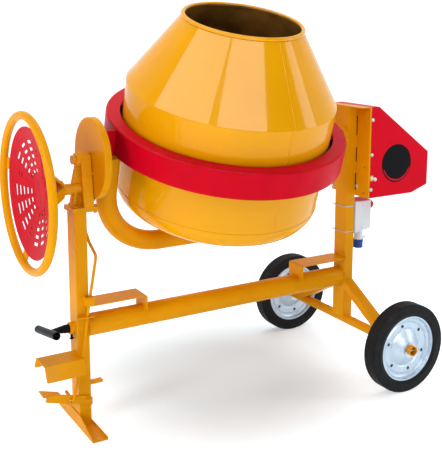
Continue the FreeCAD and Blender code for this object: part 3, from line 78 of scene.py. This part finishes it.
# ---- node helpers -------------------------------------------------------------------
class Graph:
    """A material's node tree with short calls for the nodes that the finishes share."""

    def __init__(self, name):
        self.material = bpy.data.materials.new(name)
        self.material.use_nodes = True
        self.tree = self.material.node_tree
        self.shader = self.tree.nodes["Principled BSDF"]
        self.coords = self.tree.nodes.new("ShaderNodeTexCoord").outputs["Object"]

    def node(self, kind, **values):
        made = self.tree.nodes.new(kind)
        for key, value in values.items():
            setattr(made, key, value)
        return made

    def link(self, source, target):
        self.tree.links.new(source, target)

    def noise(self, scale, detail=3.0, roughness=0.5, stretch=None):
        made = self.node("ShaderNodeTexNoise")
        made.inputs["Scale"].default_value = scale
        made.inputs["Detail"].default_value = detail
        made.inputs["Roughness"].default_value = roughness
        self.link(self.mapped(stretch), made.inputs["Vector"])
        return made.outputs["Fac"]

    def cells(self, scale):
        made = self.node("ShaderNodeTexVoronoi")
        made.inputs["Scale"].default_value = scale
        self.link(self.coords, made.inputs["Vector"])
        return made.outputs["Color"]

    def mapped(self, stretch):
        if stretch is None:
            return self.coords
        mapping = self.node("ShaderNodeMapping")
        mapping.inputs["Scale"].default_value = stretch
        self.link(self.coords, mapping.inputs["Vector"])
        return mapping.outputs["Vector"]

    def ramp(self, source, *stops):
        made = self.node("ShaderNodeValToRGB")
        ramp = made.color_ramp
        while len(ramp.elements) < len(stops):
            ramp.elements.new(0.5)
        for element, (place, value) in zip(ramp.elements, stops):
            element.position = place
            element.color = (*value, 1.0) if isinstance(value, tuple) else (value, value, value, 1.0)
        self.link(source, made.inputs["Fac"])
        return made.outputs["Color"]

    def bump(self, source, strength, distance, onto=None):
        made = self.node("ShaderNodeBump")
        made.inputs["Strength"].default_value = strength
        made.inputs["Distance"].default_value = distance
        self.link(source, made.inputs["Height"])
        if onto is not None:
            self.link(onto, made.inputs["Normal"])
        return made.outputs["Normal"]

    def soft_edges(self, radius):
        """Normal of a surface whose edges are rounded off by a small radius."""
        bevel = self.node("ShaderNodeBevel", samples=4)
        bevel.inputs["Radius"].default_value = radius
        return bevel.outputs["Normal"]

    def facing(self, centre):
        """Cosine between the surface and the direction away from a point inside the object."""
        coords = self.node("ShaderNodeTexCoord")
        away = self.node("ShaderNodeVectorMath", operation="SUBTRACT")
        self.link(coords.outputs["Object"], away.inputs[0])
        away.inputs[1].default_value = centre
        unit = self.node("ShaderNodeVectorMath", operation="NORMALIZE")
        self.link(away.outputs["Vector"], unit.inputs[0])
        dot = self.node("ShaderNodeVectorMath", operation="DOT_PRODUCT")
        self.link(unit.outputs["Vector"], dot.inputs[0])
        self.link(coords.outputs["Normal"], dot.inputs[1])
        return dot.outputs["Value"]

    def blend(self, factor, first, second):
        made = self.node("ShaderNodeMix", data_type="RGBA")
        fraction, colour_a, colour_b, colour_out = 0, 6, 7, 2
        self.link(factor, made.inputs[fraction])
        self.link(first, made.inputs[colour_a])
        self.link(second, made.inputs[colour_b])
        return made.outputs[colour_out]

    def set(self, **values):
        names = {"metallic": "Metallic", "roughness": "Roughness", "coat": "Coat Weight",
                 "coat_roughness": "Coat Roughness", "specular": "Specular IOR Level"}
        for key, value in values.items():
            self.shader.inputs[names[key]].default_value = value

    def colour(self, source):
        self.link(source, self.shader.inputs["Base Color"])

    def roughness(self, source):
        self.link(source, self.shader.inputs["Roughness"])

    def normal(self, source):
        self.link(source, self.shader.inputs["Normal"])


def mixed(colour, factor):
    return tuple(channel * factor for channel in colour)


# ---- finishes -----------------------------------------------------------------------
def enamel(name, colour, orange_peel=0.02, roughness=0.3, coat=0.05):
    """Powder-coated or brushed enamel: slight colour drift, orange peel, softened edges."""
    g = Graph(name)
    g.colour(g.ramp(g.noise(7.0, 4.0), (0.3, mixed(colour, 0.93)), (0.75, mixed(colour, 1.05))))
    g.roughness(g.ramp(g.noise(12.0, 2.0), (0.3, roughness * 0.95), (0.8, roughness * 1.15)))
    g.set(coat=coat, coat_roughness=0.05, specular=0.03)
    g.normal(g.bump(g.noise(90.0, 1.0), orange_peel, 0.0006, g.soft_edges(0.0012)))
    return g.material


def drum_enamel(name, colour, inside):
    """Gloss enamel outside; inside the drum, dull and darkened in blotchy tone as painted shade, with
    faint rolling marks.
    """
    g = Graph(name)
    outer = g.ramp(g.noise(3.0, 4.0), (0.3, mixed(colour, 0.95)), (0.75, mixed(colour, 1.04)))
    painted_inner_shade = g.ramp(g.noise(9.0, 6.0, 0.6), (0.3, mixed(inside, 0.6)), (0.8, mixed(inside, 1.4)))
    # Faces looking in towards the drum's middle take the inside colour, which is painted shade.
    side = g.ramp(g.facing(DRUM_MIDDLE), (0.0, 1.0), (0.001, 0.0))
    g.colour(g.blend(side, outer, painted_inner_shade))
    g.roughness(g.blend(side, g.ramp(g.noise(30.0, 2.0), (0.3, 0.13), (0.8, 0.2)),
                        g.ramp(g.noise(60.0, 3.0), (0.3, 0.4), (0.8, 0.6))))
    g.set(coat=0.22, coat_roughness=0.04, specular=0.06)
    g.normal(g.bump(g.noise(140.0, 1.0), 0.03, 0.0006))
    return g.material


def cast_enamel(name, colour):
    """Enamel over a sand casting: grainy and softer in its gloss."""
    g = Graph(name)
    g.colour(g.ramp(g.noise(30.0, 5.0), (0.3, mixed(colour, 0.85)), (0.75, mixed(colour, 1.05))))
    g.roughness(g.ramp(g.noise(90.0, 3.0), (0.3, 0.28), (0.8, 0.5)))
    g.set(coat=0.06, coat_roughness=0.15, specular=0.08)
    grain = g.bump(g.noise(300.0, 3.0, 0.6), 0.25, 0.0010, g.soft_edges(0.002))
    g.normal(g.bump(g.noise(60.0, 3.0), 0.25, 0.003, grain))
    return g.material


def moulded(name, colour, roughness=0.3, grain=0.05, specular=0.3):
    """Moulded plastic: fine grain and faint flow marks."""
    g = Graph(name)
    g.colour(g.ramp(g.noise(14.0, 2.0), (0.3, mixed(colour, 0.94)), (0.8, mixed(colour, 1.06))))
    g.roughness(g.ramp(g.noise(160.0, 3.0), (0.3, roughness * 0.85), (0.8, roughness * 1.3)))
    g.set(specular=specular)
    g.normal(g.bump(g.noise(260.0, 1.0), grain, 0.0003, g.soft_edges(0.0015)))
    return g.material


def galvanised(name):
    """Hot-dip zinc: crystal spangle in tone and gloss."""
    g = Graph(name)
    tone = g.node("ShaderNodeRGBToBW")
    g.link(g.cells(90.0), tone.inputs["Color"])
    g.colour(g.ramp(tone.outputs["Val"], (0.1, (0.46, 0.55, 0.63)), (0.9, (0.54, 0.63, 0.72))))
    g.roughness(g.ramp(tone.outputs["Val"], (0.1, 0.38), (0.9, 0.5)))
    g.set(metallic=0.75, specular=0.3)
    g.normal(g.bump(g.noise(60.0, 2.0), 0.03, 0.001))
    return g.material


def plated(name, colour=(0.72, 0.73, 0.76), roughness=0.25):
    """Zinc-plated or turned steel with a faint grain."""
    g = Graph(name)
    g.colour(g.ramp(g.noise(40.0, 4.0), (0.3, mixed(colour, 0.8)), (0.8, mixed(colour, 1.05))))
    g.roughness(g.ramp(g.noise(220.0, 3.0), (0.3, roughness), (0.8, roughness * 1.8)))
    g.set(metallic=1.0)
    g.normal(g.bump(g.noise(500.0, 2.0, stretch=(1.0, 1.0, 0.15)), 0.15, 0.0005))
    return g.material


def rough_iron(name):
    """Bare cast iron with blotches of grease and dust."""
    g = Graph(name)
    g.colour(g.ramp(g.noise(45.0, 5.0), (0.3, (0.018, 0.016, 0.014)), (0.75, (0.075, 0.065, 0.055))))
    g.roughness(g.ramp(g.noise(80.0, 4.0), (0.3, 0.4), (0.8, 0.75)))
    g.set(metallic=0.6)
    g.normal(g.bump(g.noise(380.0, 4.0, 0.7), 0.5, 0.0012))
    return g.material


def rubber(name, shade=0.018, rib_pitch=0.0):
    """Black rubber: dusty bloom over a fine grain, and ribs round the tread where there is a pitch."""
    g = Graph(name)
    g.colour(g.ramp(g.noise(22.0, 5.0), (0.3, (shade, shade, shade * 1.05)),
                    (0.85, (shade * 1.7, shade * 1.7, shade * 1.8))))
    g.roughness(g.ramp(g.noise(120.0, 3.0), (0.3, 0.45), (0.8, 0.65)))
    g.set(specular=0.06)
    ribs = None
    if rib_pitch:
        wave = g.node("ShaderNodeTexWave", bands_direction="Y")
        wave.inputs["Scale"].default_value = 2 * math.pi / (WAVE_RATE * rib_pitch)
        g.link(g.coords, wave.inputs["Vector"])
        ribs = g.bump(wave.outputs["Fac"], 0.8, 0.0022)
    g.normal(g.bump(g.noise(300.0, 2.0), 0.1, 0.0004, ribs))
    return g.material


YELLOW = (0.80, 0.345, 0.001)
# The frame's yellow is the drum's yellow paint made darker: painted shade, standing in for the frame
# being less lit than the drum.
SHADED_FRAME_YELLOW = (0.76, 0.31, 0.001)
RED = (0.66, 0.001, 0.014)
# Dark brown of the drum's inside: painted shade, for the light that the drum's own walls keep out.
DRUM_INSIDE_SHADE = (0.30, 0.14, 0.025)

FINISHES = {
    "yellow_paint": enamel("yellow_paint", SHADED_FRAME_YELLOW),
    "drum_paint": drum_enamel("drum_paint", YELLOW, DRUM_INSIDE_SHADE),
    "yellow_casting": cast_enamel("yellow_casting", YELLOW),
    "red_paint": enamel("red_paint", RED, roughness=0.35, coat=0.05),
    "red_plastic": moulded("red_plastic", mixed(RED, 0.85), roughness=0.36, grain=0.02, specular=0.04),
    "galvanised_steel": galvanised("galvanised_steel"),
    "zinc_steel": plated("zinc_steel", (0.60, 0.61, 0.63), 0.3),
    "tyre_rubber": rubber("tyre_rubber", 0.012, rib_pitch=0.011),
    "belt_rubber": rubber("belt_rubber", 0.012),
    "cast_iron": rough_iron("cast_iron"),
    "gear_steel": plated("gear_steel", (0.42, 0.42, 0.43), 0.3),
    "aluminium_cast": plated("aluminium_cast", (0.66, 0.66, 0.68), 0.35),
    "motor_paint": enamel("motor_paint", (0.05, 0.07, 0.1), roughness=0.35, coat=0.2),
    "white_plastic": moulded("white_plastic", (0.70, 0.72, 0.74), 0.4),
    "red_button": moulded("red_button", (0.62, 0.003, 0.01), 0.18, 0.05),
    "green_button": moulded("green_button", (0.005, 0.22, 0.04), 0.25, 0.05),
    "blue_plastic": moulded("blue_plastic", (0.004, 0.055, 0.30), 0.35),
    "black_paint": enamel("black_paint", (0.006, 0.006, 0.008), roughness=0.35, coat=0.05),
}


def finish_nodes():
    """Gives each CAD node the finish of its slot in the record."""
    for part in frame["record"]["subparts"]:
        target = NODES[part["node"]]
        target.data.materials.clear()
        target.data.materials.append(FINISHES[part["material_slot"]])


# ---- building helpers ---------------------------------------------------------------
def piece(name, shape, body, slot, smooth=True):
    """Mesh object from a bmesh, riding on a CAD body, in the finish of a record slot."""
    mesh = bpy.data.meshes.new(name)
    bmesh.ops.recalc_face_normals(shape, faces=shape.faces)
    shape.to_mesh(mesh)
    shape.free()
    for face in mesh.polygons:
        face.use_smooth = smooth
    made = bpy.data.objects.new(name, mesh)
    bpy.context.scene.collection.objects.link(made)
    mesh.materials.append(FINISHES[slot])
    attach(made, body)
    return made


def loft(shape, rings, closed=False):
    """Joins rings of points, each a list of the same length, with capped ends unless closed."""
    made = [[shape.verts.new(point) for point in ring] for ring in rings]
    pairs = list(zip(made, made[1:])) + ([(made[-1], made[0])] if closed else [])
    count = len(rings[0])
    for first, second in pairs:
        for index in range(count):
            after = (index + 1) % count
            shape.faces.new((first[index], first[after], second[after], second[index]))
    if not closed:
        shape.faces.new(made[0][::-1])
        shape.faces.new(made[-1])


def evenly(points, step, closed=False):
    """Points spaced step apart along a broken line."""
    points = [Vector(point) for point in points]
    if closed:
        points.append(points[0])
    spread = []
    for start, end in zip(points, points[1:]):
        count = max(1, round((end - start).length / step))
        spread += [start.lerp(end, index / count) for index in range(count)]
    return spread if closed else spread + [points[-1]]


def rings_along(points, radius_at, sides=8, closed=False):
    """Rings square to a line of points; radius_at gives each ring's radius from its number."""
    rings = []
    last = len(points) - 1
    side = None
    for index, point in enumerate(points):
        before = points[index - 1] if index or closed else point
        after = points[(index + 1) % len(points)] if index < last or closed else point
        along = (after - before).normalized()
        if side is None:
            side = along.orthogonal().normalized()
        side = (side - along * side.dot(along)).normalized()
        other = along.cross(side)
        radius = radius_at(index)
        turns = [2 * math.pi * corner / sides for corner in range(sides)]
        rings.append([point + side * radius * math.cos(turn) + other * radius * math.sin(turn)
                      for turn in turns])
    return rings


def add_weld(shape, points, radius=0.003, closed=False, seed=1):
    """Rippled weld bead along a line, of slightly uneven width."""
    chance = random.Random(seed)
    path = evenly(points, WELD_STEP, closed)
    widths = [radius * (1 + 0.16 * math.cos(2.1 * index) + chance.uniform(-0.1, 0.1))
              for index in range(len(path))]
    loft(shape, rings_along(path, widths.__getitem__, closed=closed), closed)


def circle(centre, radius, axis, count=48, start=0.0, sweep=2 * math.pi):
    """Points round an axis through centre."""
    axis = Vector(axis).normalized()
    side = axis.orthogonal().normalized()
    other = axis.cross(side)
    turns = [start + sweep * index / count for index in range(count)]
    return [Vector(centre) + side * radius * math.cos(turn) + other * radius * math.sin(turn)
            for turn in turns]


def add_turned(shape, outline, place, axis, sides=32):
    """Solid of revolution: (radius, height) points from place along axis."""
    axis = Vector(axis).normalized()
    loft(shape, [circle(Vector(place) + axis * height, radius, axis, sides)
                 for radius, height in outline])


# ---- welds and seams ----------------------------------------------------------------
def drum_welds():
    """Lengthwise seams of the drum's side and cone, and the seams round its bottom and fold."""
    shape = bmesh.new()
    seam_r, bottom_r, fold_r = 0.0016, 0.0018, 0.0015
    ends = (SEAM_LOW + 0.004, FOLD - 0.002)
    add_weld(shape, [on_drum(DRUM_R, SEAM_TURN, along) for along in ends], seam_r)
    slope = (MOUTH_R - DRUM_R) / (MOUTH_HIGH - FOLD)
    ends = (FOLD + 0.003, MOUTH_HIGH - 0.012)
    add_weld(shape, [on_drum(DRUM_R + slope * (along - FOLD), CONE_SEAM_TURN, along) for along in ends],
             seam_r, seed=2)
    turns = [2 * math.pi * index / 180 for index in range(180)]
    add_weld(shape, [on_drum(DRUM_R - 0.0004, turn, SEAM_LOW) for turn in turns], bottom_r, True, 3)
    add_weld(shape, [on_drum(DRUM_R - 0.0012, turn, FOLD) for turn in turns], fold_r, True, 4)
    piece("drum_welds", shape, "drum", "drum_paint")


def frame_welds():
    """Fillet beads where the tubes, strips and plates of the stand meet."""
    shape = bmesh.new()
    tube_bead, strip_bead, cap_bead, stitch_bead = 0.0042, 0.003, 0.0032, 0.0034
    foot_face, axle_face = POST_HALF_X + 0.001, AXLE_X - POST_HALF_X - 0.001
    sole_z, cap_z, proud = 0.0055, 0.867, 0.0003
    strip_z, strip_half = 0.4925, 0.046
    stitch_x, stitch_y = PLATE_FACE - 0.0005, 0.0005 - POST_HALF_Y
    corners = ((-1, -1), (1, -1), (1, 1), (-1, 1))
    lines = [([(x * POST_HALF_X, y * POST_HALF_Y, sole_z) for x, y in corners], True, tube_bead)]
    for face in (foot_face, axle_face):
        lines.append((circle((face, 0, TUBE_Z), TUBE_BEAD_R, (1, 0, 0)), True, tube_bead))
    for face in (foot_face, axle_face):
        lines.append(([(face, -strip_half, strip_z), (face, strip_half, strip_z)], False, strip_bead))
    front, left = -POST_HALF_Y - proud, -POST_HALF_X - proud
    lines.append(([(-POST_HALF_X, front, cap_z), (POST_HALF_X, front, cap_z)], False, cap_bead))
    lines.append(([(left, -POST_HALF_Y, cap_z), (left, POST_HALF_Y, cap_z)], False, cap_bead))
    for low, high in STITCHES:
        lines.append(([(stitch_x, stitch_y, low), (stitch_x, stitch_y, high)], False, stitch_bead))
    first_seed = 10
    for seed, (points, closed, radius) in enumerate(lines, first_seed):
        add_weld(shape, points, radius, closed, seed)
    piece("frame_welds", shape, "frame", "yellow_paint")


def painted_gap_shadows():
    """Thin black strips between the stitch welds: painted shadow in the gap where the drive's plate is
    folded along the post.
    """
    shape = bmesh.new()
    near, far, thick, gap = -0.0460, -0.0405, 0.0004, 0.002
    front = PLATE_FACE - thick
    for (stitch_low, _), (_, stitch_high) in zip(STITCHES, STITCHES[1:]):
        loft(shape, [[Vector((PLATE_FACE, near, z)), Vector((PLATE_FACE, far, z)),
                      Vector((front, far, z)), Vector((front, near, z))]
                     for z in (stitch_high + gap, stitch_low - gap)])
    # The black strips are painted shadow, not a part of the machine.
    piece("painted_gap_shadows", shape, "frame", "black_paint", smooth=False)


# ---- fastenings ---------------------------------------------------------------------
def add_screw(shape, place, axis, head_r, head_h, washer_r, shank):
    """Hexagon screw with a washer under its chamfered head, and its shank behind."""
    axis, place = Vector(axis), Vector(place)
    shank_r, thick = head_r * 0.5, 0.0014
    add_turned(shape, [(shank_r, -shank), (shank_r, 0.0)], place, axis, 16)
    add_turned(shape, [(washer_r - 0.0004, 0.0), (washer_r, 0.0004), (washer_r, thick - 0.0003),
                       (washer_r - 0.0006, thick)], place, axis)
    head = place + axis * thick
    loft(shape, [circle(head + axis * height, radius, axis, 6)
                 for radius, height in ((head_r, 0.0), (head_r, head_h * 0.75), (head_r * 0.86, head_h))])
    crown = [(head_r * 0.80, head_h * 0.9), (head_r * 0.66, head_h * 1.12), (0.0004, head_h * 1.25)]
    add_turned(shape, crown, head, axis, 24)


def cover_screws():
    """Screws of the drive's cover and plate."""
    shape = bmesh.new()
    flange_x, tab_x, latch_x, tab_thick = 1.353, 1.356, 1.376, 0.0024
    m6 = {"head_r": 0.0058, "head_h": 0.0042, "washer_r": 0.0080, "shank": 0.008}
    latch = {"head_r": 0.0068, "head_h": 0.0050, "washer_r": 0.0088}
    plate = {"head_r": 0.0085, "head_h": 0.0055, "washer_r": 0.0105, "shank": 0.0024}
    for z in (1.144, 0.986, 0.827):
        for side in (-1, 1):
            add_screw(shape, (flange_x, side * COVER_Y, z), (0, side, 0), **m6)
    add_screw(shape, (tab_x, -COVER_Y - tab_thick, 0.880), (0, -1, 0), shank=0.010, **latch)
    add_screw(shape, (latch_x, -COVER_Y, 0.873), (0, -1, 0), shank=0.008, **latch)
    for y, z in ((-0.053, 0.832), (0.120, 0.808)):
        add_screw(shape, (PLATE_FACE, y, z), (-1, 0, 0), **plate)
    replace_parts(piece("cover_screws", shape, "frame", "zinc_steel", smooth=False), "cover_bolts")


def box_screws():
    """Two lid screws in the near side of the switch box."""
    shape = bmesh.new()
    middle_x, outline = 1.381, [(0.0042, -0.002), (0.0042, 0.0006), (0.0034, 0.0012), (0.0004, 0.0014)]
    for z in (0.735, 0.628):
        add_turned(shape, outline, (middle_x, BOX_NEAR_Y, z), (0, -1, 0), 24)
    piece("box_screws", shape, "frame", "zinc_steel")


def wire_loops():
    """Twisted pairs of wire round the axle post, with their ends sticking out behind."""
    shape = bmesh.new()
    wire_r, twist_r, pitch, step = 0.0013, 0.0014, 0.011, 0.0011
    left, right, near, far = 1.2851, 1.3389, -0.0421, 0.0421
    bend = 0.003
    for z in (0.737, 0.618):
        route = [(right, far - 0.012, z), (right - 0.004, far, z), (left + bend, far, z),
                 (left, far - bend, z), (left, near + bend, z), (left + bend, near, z),
                 (right - bend, near, z), (right, near + bend, z), (right, near + 0.008, z)]
        tail = [(left, far - 0.008, z), (left - 0.006, far - 0.004, z + 0.002),
                (left - 0.013, far + 0.002, z + 0.006)]
        for line in (route, tail):
            path = evenly(line, step)
            frames = rings_along(path, lambda index: twist_r, 4)
            for phase in (0.0, math.pi):
                strand = []
                for index, point in enumerate(path):
                    turn = phase + 2 * math.pi * index * step / pitch
                    side, other = frames[index][0] - point, frames[index][1] - point
                    strand.append(point + side * math.cos(turn) + other * math.sin(turn))
                loft(shape, rings_along(strand, lambda index: wire_r, 6))
    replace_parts(piece("wire_loops", shape, "frame", "zinc_steel"), "wire_ties")


# ---- emblem -------------------------------------------------------------------------
def emblem():
    """Plain round badge on the cover: a black disc with a thin crescent along its lower edge."""
    x, z, face, radius, thick = 1.502, 0.936, -COVER_Y, 0.088, 0.0008
    disc = bmesh.new()
    outline = [(radius, 0.0), (radius, thick / 2), (radius - thick, thick)]
    add_turned(disc, outline, (x, face, z), (0, -1, 0), 72)
    piece("badge", disc, "frame", "black_paint", smooth=False)
    crescent = bmesh.new()
    front, back = face - thick - 0.0004, face - thick
    outer_r, inner_r, lift = radius - 0.006, radius - 0.0088, 0.0060
    start_deg, sweep_deg, count = 200, 140, 40
    rings = []
    for index in range(count + 1):
        turn = math.radians(start_deg + sweep_deg * index / count)
        low, high = [(x + r * math.cos(turn), z + rise + r * math.sin(turn))
                     for r, rise in ((outer_r, 0.0), (inner_r, lift))]
        rings.append([(low[0], back, low[1]), (low[0], front, low[1]),
                      (high[0], front, high[1]), (high[0], back, high[1])])
    loft(crescent, rings)
    piece("badge_crescent", crescent, "frame", "red_paint")


# ---- the room -----------------------------------------------------------------------
def floor():
    """Pale paper floor that glows: its emission is low close round the machine, a painted shadow there,
    and rises to fade into the white room a metre round; its bluish tint offsets the yellow light the
    machine throws on it.
    """
    size = 60.0
    shade_middle = (DRUM_X + 0.05, 0.12, 0.0)
    # Emission by distance from shade_middle: a painted shadow near the machine, a glowing floor further
    # out.
    glow = {"From Min": 0.25, "From Max": 1.0, "To Min": 0.05, "To Max": 0.64}
    mesh = bpy.data.meshes.new("floor")
    shape = bmesh.new()
    corners = ((-1, -1), (1, -1), (1, 1), (-1, 1))
    shape.faces.new([shape.verts.new((DRUM_X + x * size, y * size, 0.0)) for x, y in corners])
    shape.to_mesh(mesh)
    shape.free()
    ground = bpy.data.objects.new("floor", mesh)
    bpy.context.scene.collection.objects.link(ground)
    g = Graph("floor_paper")
    # Bluish tint offsets the yellow and red light bounced from the machine onto the floor.
    g.colour(g.ramp(g.noise(0.6, 2.0), (0.2, (0.765, 0.865, 0.94)), (0.8, (0.785, 0.885, 0.96))))
    g.set(roughness=0.8, specular=0.1)
    g.shader.inputs["Emission Color"].default_value = (1.0, 1.0, 1.0, 1.0)
    painted_shadow_distance = g.node("ShaderNodeVectorMath", operation="DISTANCE")
    g.link(g.coords, painted_shadow_distance.inputs[0])
    painted_shadow_distance.inputs[1].default_value = shade_middle
    painted_shadow_glow = g.node("ShaderNodeMapRange", interpolation_type="SMOOTHSTEP")
    for key, value in glow.items():
        painted_shadow_glow.inputs[key].default_value = value
    g.link(painted_shadow_distance.outputs["Value"], painted_shadow_glow.inputs["Value"])
    g.link(painted_shadow_glow.outputs["Result"], g.shader.inputs["Emission Strength"])
    mesh.materials.append(g.material)


def area_light(name, place, aim, size, power, seen_in_gloss=True, lights_up=True):
    """Rectangular lamp; it can be left out of reflections, or be there for them alone."""
    light = bpy.data.lights.new(name, "AREA")
    light.shape = "RECTANGLE"
    light.size, light.size_y = size
    light.energy = power
    lamp = bpy.data.objects.new(name, light)
    lamp.location = place
    lamp.rotation_euler = (Vector(aim) - Vector(place)).to_track_quat("-Z", "Y").to_euler()
    lamp.visible_glossy = seen_in_gloss
    lamp.visible_diffuse = lights_up
    bpy.context.scene.collection.objects.link(lamp)


def studio():
    """Soft lamps, windows seen only in the gloss, and a room that is white behind and dim in front."""
    centre, upper_drum = (DRUM_X, 0.0, 0.9), (0.65, -0.1, 1.35)
    area_light("key", (-1.2, -3.0, 3.6), centre, (1.8, 1.8), 46, seen_in_gloss=False)
    area_light("fill_right", (4.2, -2.2, 2.0), centre, (1.0, 2.2), 40)
    area_light("fill_left", (-3.8, -1.2, 2.2), centre, (1.0, 2.2), 72, seen_in_gloss=False)
    area_light("top", (0.6, 0.5, 4.5), centre, (2.6, 2.6), 50)
    area_light("window_front", (-0.1, -3.75, 3.3), upper_drum, (3.3, 2.2), 230, lights_up=False)
    area_light("window_left", (-2.7, -0.9, 3.6), upper_drum, (4.2, 2.2), 260, lights_up=False)
    behind, strength = (0.5, 0.866, 0.0), 1.08
    stops = ((0.0, 0.12), (0.25, 1.0))
    world = bpy.data.worlds.new("studio")
    world.use_nodes = True
    tree = world.node_tree
    coords = tree.nodes.new("ShaderNodeTexCoord")
    toward = tree.nodes.new("ShaderNodeVectorMath")
    toward.operation = "DOT_PRODUCT"
    toward.inputs[1].default_value = behind
    ramp = tree.nodes.new("ShaderNodeValToRGB")
    for element, (place, grey) in zip(ramp.color_ramp.elements, stops):
        element.position = place
        element.color = (grey, grey, grey, 1.0)
    tree.links.new(coords.outputs["Generated"], toward.inputs[0])
    tree.links.new(toward.outputs["Value"], ramp.inputs["Fac"])
    tree.links.new(ramp.outputs["Color"], tree.nodes["Background"].inputs["Color"])
    tree.nodes["Background"].inputs["Strength"].default_value = strength
    bpy.context.scene.world = world


def camera():
    """The photograph's viewing angle: left of and above the machine's near side."""
    place, yaw, pitch = (-1.1047, -2.9401, 1.6095), math.radians(30.1), math.radians(-9.5)
    look = Vector((math.sin(yaw) * math.cos(pitch), math.cos(yaw) * math.cos(pitch), math.sin(pitch)))
    data = bpy.data.cameras.new("camera")
    data.sensor_fit = "VERTICAL"
    data.sensor_height = 36.0
    data.lens = 64.46
    data.shift_x, data.shift_y = 0.0196, -0.170
    eye = bpy.data.objects.new("camera", data)
    eye.location = place
    eye.rotation_euler = look.to_track_quat("-Z", "Y").to_euler()
    bpy.context.scene.collection.objects.link(eye)
    bpy.context.scene.camera = eye


bpy.context.scene.view_settings.view_transform = "Standard"
finish_nodes()
drum_welds()
frame_welds()
painted_gap_shadows()
cover_screws()
box_screws()
wire_loops()
emblem()
floor()
studio()
camera()
